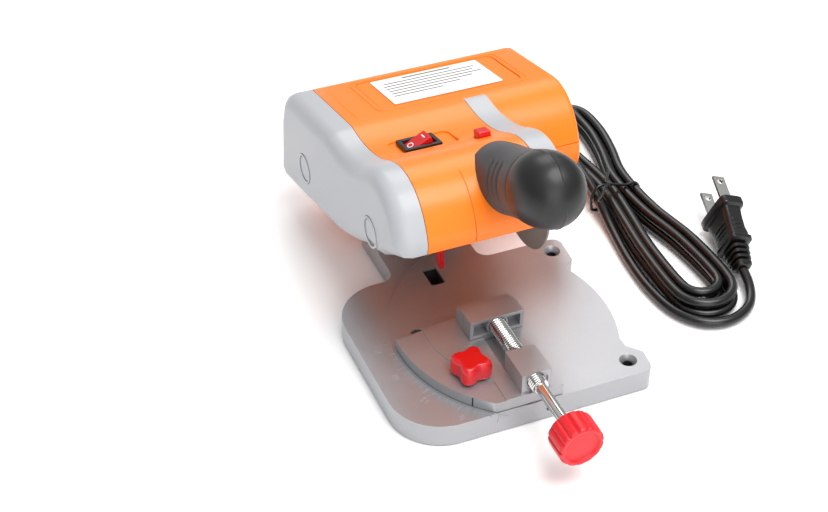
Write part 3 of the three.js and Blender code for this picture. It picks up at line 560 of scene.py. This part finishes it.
def add_handle():
    """The neck with three grip grooves on one side, and the ball with its moulding seam."""
    steps = [10, 4, 0, -4, -8]
    steps += [-8.5 - 0.35 * k for k in range(34)] + [-21, -24, -27, -29.4]

    def wall(a, y):
        r = 14.85 - 0.55 * sin(pi * min(1, max(0, -y / 29)))
        side = max(0.0, -cos(a - radians(12)))
        for spot in (-10.2, -14.8, -19.4):
            dip = max(0.0, 1 - ((y - spot) / 1.0) ** 2) * min(1, max(0, (side - 0.45) * 6))
            r -= 1.0 * dip
        return r

    turn = around(96)
    rings = [[(wall(a, y) * cos(a), y, 1.04 * wall(a, y) * sin(a)) for a in turn] for y in steps]
    for r, y in ((14.6, -29.9), (14.0, -30.3), (9, -30.3)):
        rings.append([(r * cos(a), y, 1.04 * r * sin(a)) for a in turn])
    build("handle_neck", *loft(rings), "head", "stem", "stem_plastic", HANDLE,
          hides=("handle_stem",), angle=60)
    ball = [(9, -30.5), (14.1, -30.5), (14.9, -30.8), (15.2, -31.6), (15.45, -34.4), (15.55, -38.4),
            (15.1, -42.4), (14.2, -46.2), (12.6, -49.6), (10.3, -52.3), (7.4, -54.2), (4.2, -55.3),
            (1.6, -55.7), (0.05, -55.75)]

    def seam(a, r):
        return r + 0.3 * max(0, 1 - abs(cos(a)) * 16)

    build("handle_knob", *turned(ball, 144, seam, squash=1.05), "head", "black", "black_plastic",
          HANDLE, hides=("handle_ball",), angle=60)


def height_on(node):
    """A function giving the height of a head part's upper face, in the head's own frame."""
    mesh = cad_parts[node].data
    tree = BVHTree.FromPolygons([HEAD.inverted() @ (v.co / MM) for v in mesh.vertices],
                                [tuple(face.vertices) for face in mesh.polygons])
    return lambda x, y: tree.ray_cast(Vector((x, y, 90)), Vector((0, 0, -1)))[0].z


def add_switch():
    softened("switch_bezel", "head", "bezel", "black_plastic", 0.4)
    softened("switch_rocker", "rocker", "rocker", "red_plastic", 0.35)
    top = height_on("switch_rocker")

    def laid(outline, inner):
        """A thin flat mark between two outlines, lying on the rocker."""
        rings = []
        for (ax, ay), (bx, by) in zip(outline, inner):
            az, bz = top(ax, ay), top(bx, by)
            rings.append([(ax, ay, az - 0.05), (ax, ay, az + 0.08),
                          (bx, by, bz + 0.08), (bx, by, bz - 0.05)])
        return loft(rings, closed=False)

    turn = [2 * pi * i / 32 for i in range(33)]
    build("rocker_ring", *laid([(-26.1 + 1.35 * cos(a), -42.1 + 2.0 * sin(a)) for a in turn],
                               [(-26.1 + 0.95 * cos(a), -42.1 + 1.5 * sin(a)) for a in turn]),
          "rocker", "white", "red_plastic", HEAD)
    build("rocker_dash", *laid([(-20.0, -44.0), (-20.0, -42.1), (-20.0, -40.2)],
                               [(-19.5, -44.0), (-19.5, -42.1), (-19.5, -40.2)]),
          "rocker", "white", "red_plastic", HEAD)


def add_lines():
    """The parting line down the nose and the outline round the label, laid on the housing as thin
    darker-orange tubes: painted shade of the seam and of the moulded outline.
    """
    outline = [(-78, 61.45), (-87, 58.4), (-93, 53.6), (-97, 47.4), (-99.2, 41), (-99.85, 35),
               (-98.6, 31.5)]
    points = [HEAD @ Vector((-21, y, z)) for y, z in outline]
    # A darker orange tube along the nose seam: painted shade of the parting line.
    add_curve("nose_parting_line_shade", smooth_path(points, 1), 0.3, "head", "orange_dark")
    low_x, high_x, low_y, high_y, r = -26.4, 50.4, -5.4, 37.4, 4.2
    top = height_on("housing_upper")
    loop = []
    for cx, cy, start in ((high_x - r, high_y - r, 0), (low_x + r, high_y - r, 90),
                          (low_x + r, low_y + r, 180), (high_x - r, low_y + r, 270)):
        loop += [(cx + r * cos(radians(start + a)), cy + r * sin(radians(start + a)))
                 for a in range(0, 91, 15)]
    on_top = []
    for (ax, ay), (bx, by) in zip(loop, loop[1:] + loop[:1]):
        for k in range(4):
            x, y = ax + (bx - ax) * k / 4, ay + (by - ay) * k / 4
            on_top.append(HEAD @ Vector((x, y, top(x, y))))
    # A darker orange tube round the label: painted shade of its moulded outline.
    add_curve("label_outline_shade", on_top + on_top[:1], 0.55, "head", "orange_line")


def add_head():
    add_lines()
    softened("housing_upper", "head", "orange", "orange_plastic", 0.7, angle=40)
    softened("housing_lower", "head", "orange", "orange_plastic", 0.7, angle=40)
    softened("belt_cover", "head", "grey", "grey_plastic", 0.5, angle=40)
    softened("blade_cover", "head", "grey", "grey_plastic", 0.9, angle=40)
    for node in ("cover_plug_rear", "cover_plug_front"):
        softened(node, "head", "grey", "grey_plastic", 0.06)
    softened("head_bracket", "head", "cast", "cast_silver", 0.5)
    softened("strain_relief", "head", "rubber", "soft_black", 0.3)
    softened("latch_hook", "latch", "red", "red_plastic", 0.35)
    softened("latch_button", "button", "red", "red_plastic", 0.5)
    add_label()
    add_handle()
    add_switch()
    blade_at = HEAD @ Matrix.Translation((0, -67, 31.6)) @ Matrix.Rotation(radians(-90), 4, "Z")
    disc = turned([(3.4, 16), (22.6, 16), (22.6, 17), (3.4, 17)], 96)
    build("blade_disc", *disc, "arbor", "blade", "blade_steel", blade_at, hides=("saw_blade",))
    rim = turned([(22.3, 15.95), (24.8, 15.95), (25, 16.15), (25, 16.85), (24.8, 17.05),
                  (22.3, 17.05)], 96)
    build("blade_rim", *rim, "arbor", "grit", "blade_steel", blade_at)


def add_inner():
    looks = {
        "steel": ("lock_screw", "lock_nut", "latch_pin", "motor_pulley", "arbor_shaft",
                  "arbor_pulley", "flange_inner", "flange_outer", "arbor_nut"),
        "dark_steel": ("motor_stator",),
        "bezel": ("motor_end_left", "motor_end_right", "motor_fan"),
        "chrome": ("motor_bearing_left", "motor_bearing_right", "arbor_bearing_left",
                   "arbor_bearing_right"),
        "dark": ("carbon_brush_rear", "carbon_brush_front"),
        "rubber": ("drive_belt",),
        "copper": ("motor_armature",),
    }
    for look, nodes in looks.items():
        for node in nodes:
            dress(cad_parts[node], look)


# ------------------------------------------------------------------ stage
def add_stage():
    mesh = bpy.data.meshes.new("floor")
    half = 6
    corners = [(x * half, y * half, -0.0006) for x, y in ((-1, -1), (1, -1), (1, 1), (-1, 1))]
    mesh.from_pydata(corners, [], [(0, 1, 2, 3)])
    floor = bpy.data.objects.new("floor", mesh)
    bpy.context.collection.objects.link(floor)
    dress(floor, "floor")
    world = bpy.data.worlds.new("studio")
    world.use_nodes = True
    nodes, links = world.node_tree.nodes, world.node_tree.links
    place = nodes.new("ShaderNodeTexCoord")
    split = nodes.new("ShaderNodeSeparateXYZ")
    grade = nodes.new("ShaderNodeMapRange")
    grade.inputs["From Min"].default_value = -0.1
    grade.inputs["To Min"].default_value = 0.22
    grade.inputs["To Max"].default_value = 1.0
    links.new(place.outputs["Generated"], split.inputs["Vector"])
    links.new(split.outputs["Z"], grade.inputs["Value"])
    links.new(grade.outputs["Result"], nodes["Background"].inputs["Color"])
    nodes["Background"].inputs["Strength"].default_value = 0.8
    bpy.context.scene.world = world
    bpy.context.scene.view_settings.view_transform = "Standard"
    for name, spot, aim, size, power in (
            ("key", (0.2, -0.35, 1.25), (0, 0, 0.03), 0.8, 13.5),
            ("fill", (-0.15, -1.15, 0.5), (0, 0, 0.02), 0.9, 5.5),
            ("back", (0.3, 1.0, 1.0), (0, 0, 0.05), 0.8, 6)):
        lamp = bpy.data.objects.new(name, bpy.data.lights.new(name, "AREA"))
        lamp.data.size, lamp.data.energy = size, power
        lamp.location = spot
        lamp.rotation_euler = (Vector(aim) - Vector(spot)).to_track_quat("-Z", "Y").to_euler()
        bpy.context.collection.objects.link(lamp)


add_base()
add_vise()
add_head()
add_inner()
add_stage()
